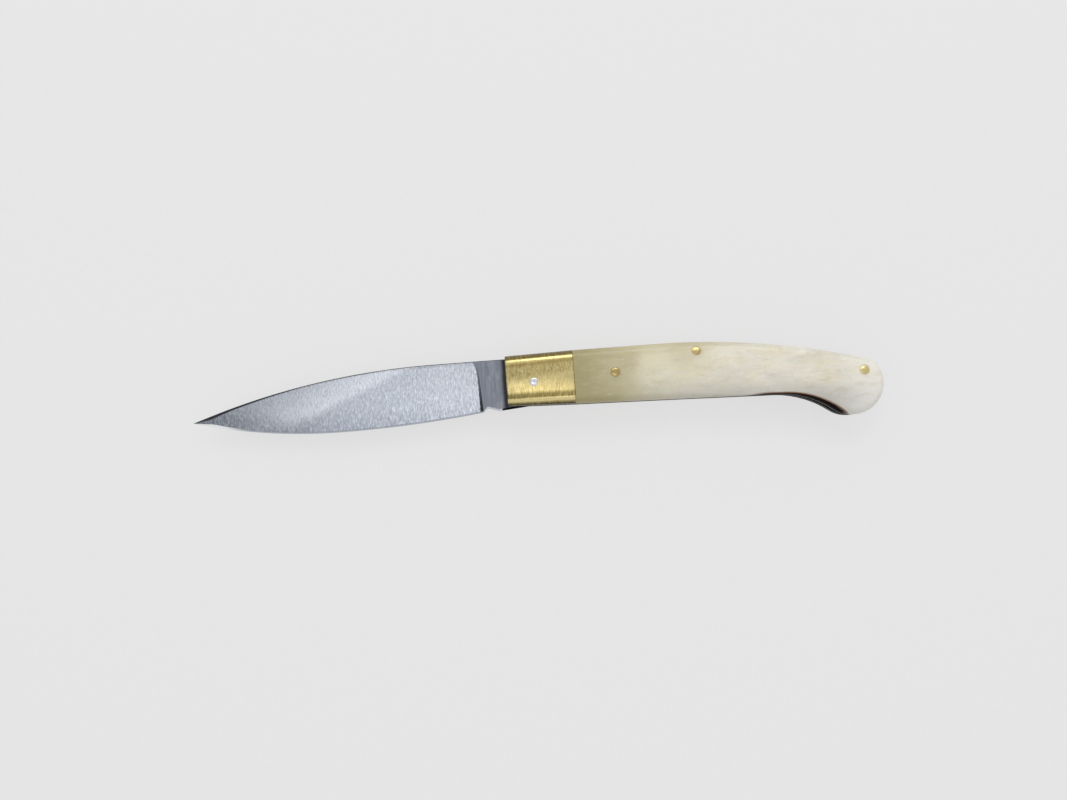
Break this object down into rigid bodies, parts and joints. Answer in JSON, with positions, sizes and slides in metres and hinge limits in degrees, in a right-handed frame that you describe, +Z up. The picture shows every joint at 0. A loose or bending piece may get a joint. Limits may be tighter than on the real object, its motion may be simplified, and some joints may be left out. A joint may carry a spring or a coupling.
{
  "type": "folding pocket knife",
  "caption": "Folding pocket knife: a leaf-shaped steel blade turns on a pin in a brass collar and closes into the slot of a hooked bone handle.",
  "frame": {"origin": "middle of the open knife's outline, on the surface it lies on", "axes": "+X along the knife from the blade's point to the butt, +Y from the cutting edge to the back, +Z up through the thickness"},
  "size_m": [0.1993, 0.0244, 0.0119],
  "materials": {
    "blade_steel": "satin, ground across",
    "collar_brass": "fine brushed",
    "liner_steel": "dull rolled",
    "bone": "polished bone",
    "bronze": "rolled sheet",
    "pin_steel": "filed flush",
    "pin_brass": "filed flush"
  },
  "bodies": {
    "handle": {"collar": "collar_brass", "near_liner": "liner_steel", "far_liner": "liner_steel", "back_spacer": "liner_steel", "near_scale": "bone", "far_scale": "bone", "near_washer": "bronze", "far_washer": "bronze", "pivot_pin": "pin_steel", "near_front_rivet": "pin_brass", "far_front_rivet": "pin_brass", "middle_pin": "pin_brass", "rear_pin": "pin_brass"},
    "blade": {"blade": "blade_steel"}
  },
  "joints": [
    {"name": "blade_fold", "type": "hinge", "parent": "handle", "child": "blade", "pos_m": [-0.00035, 0.00378, 0.00594], "axis": [0, 0, 1], "range_deg": [0, 172]}
  ]
}
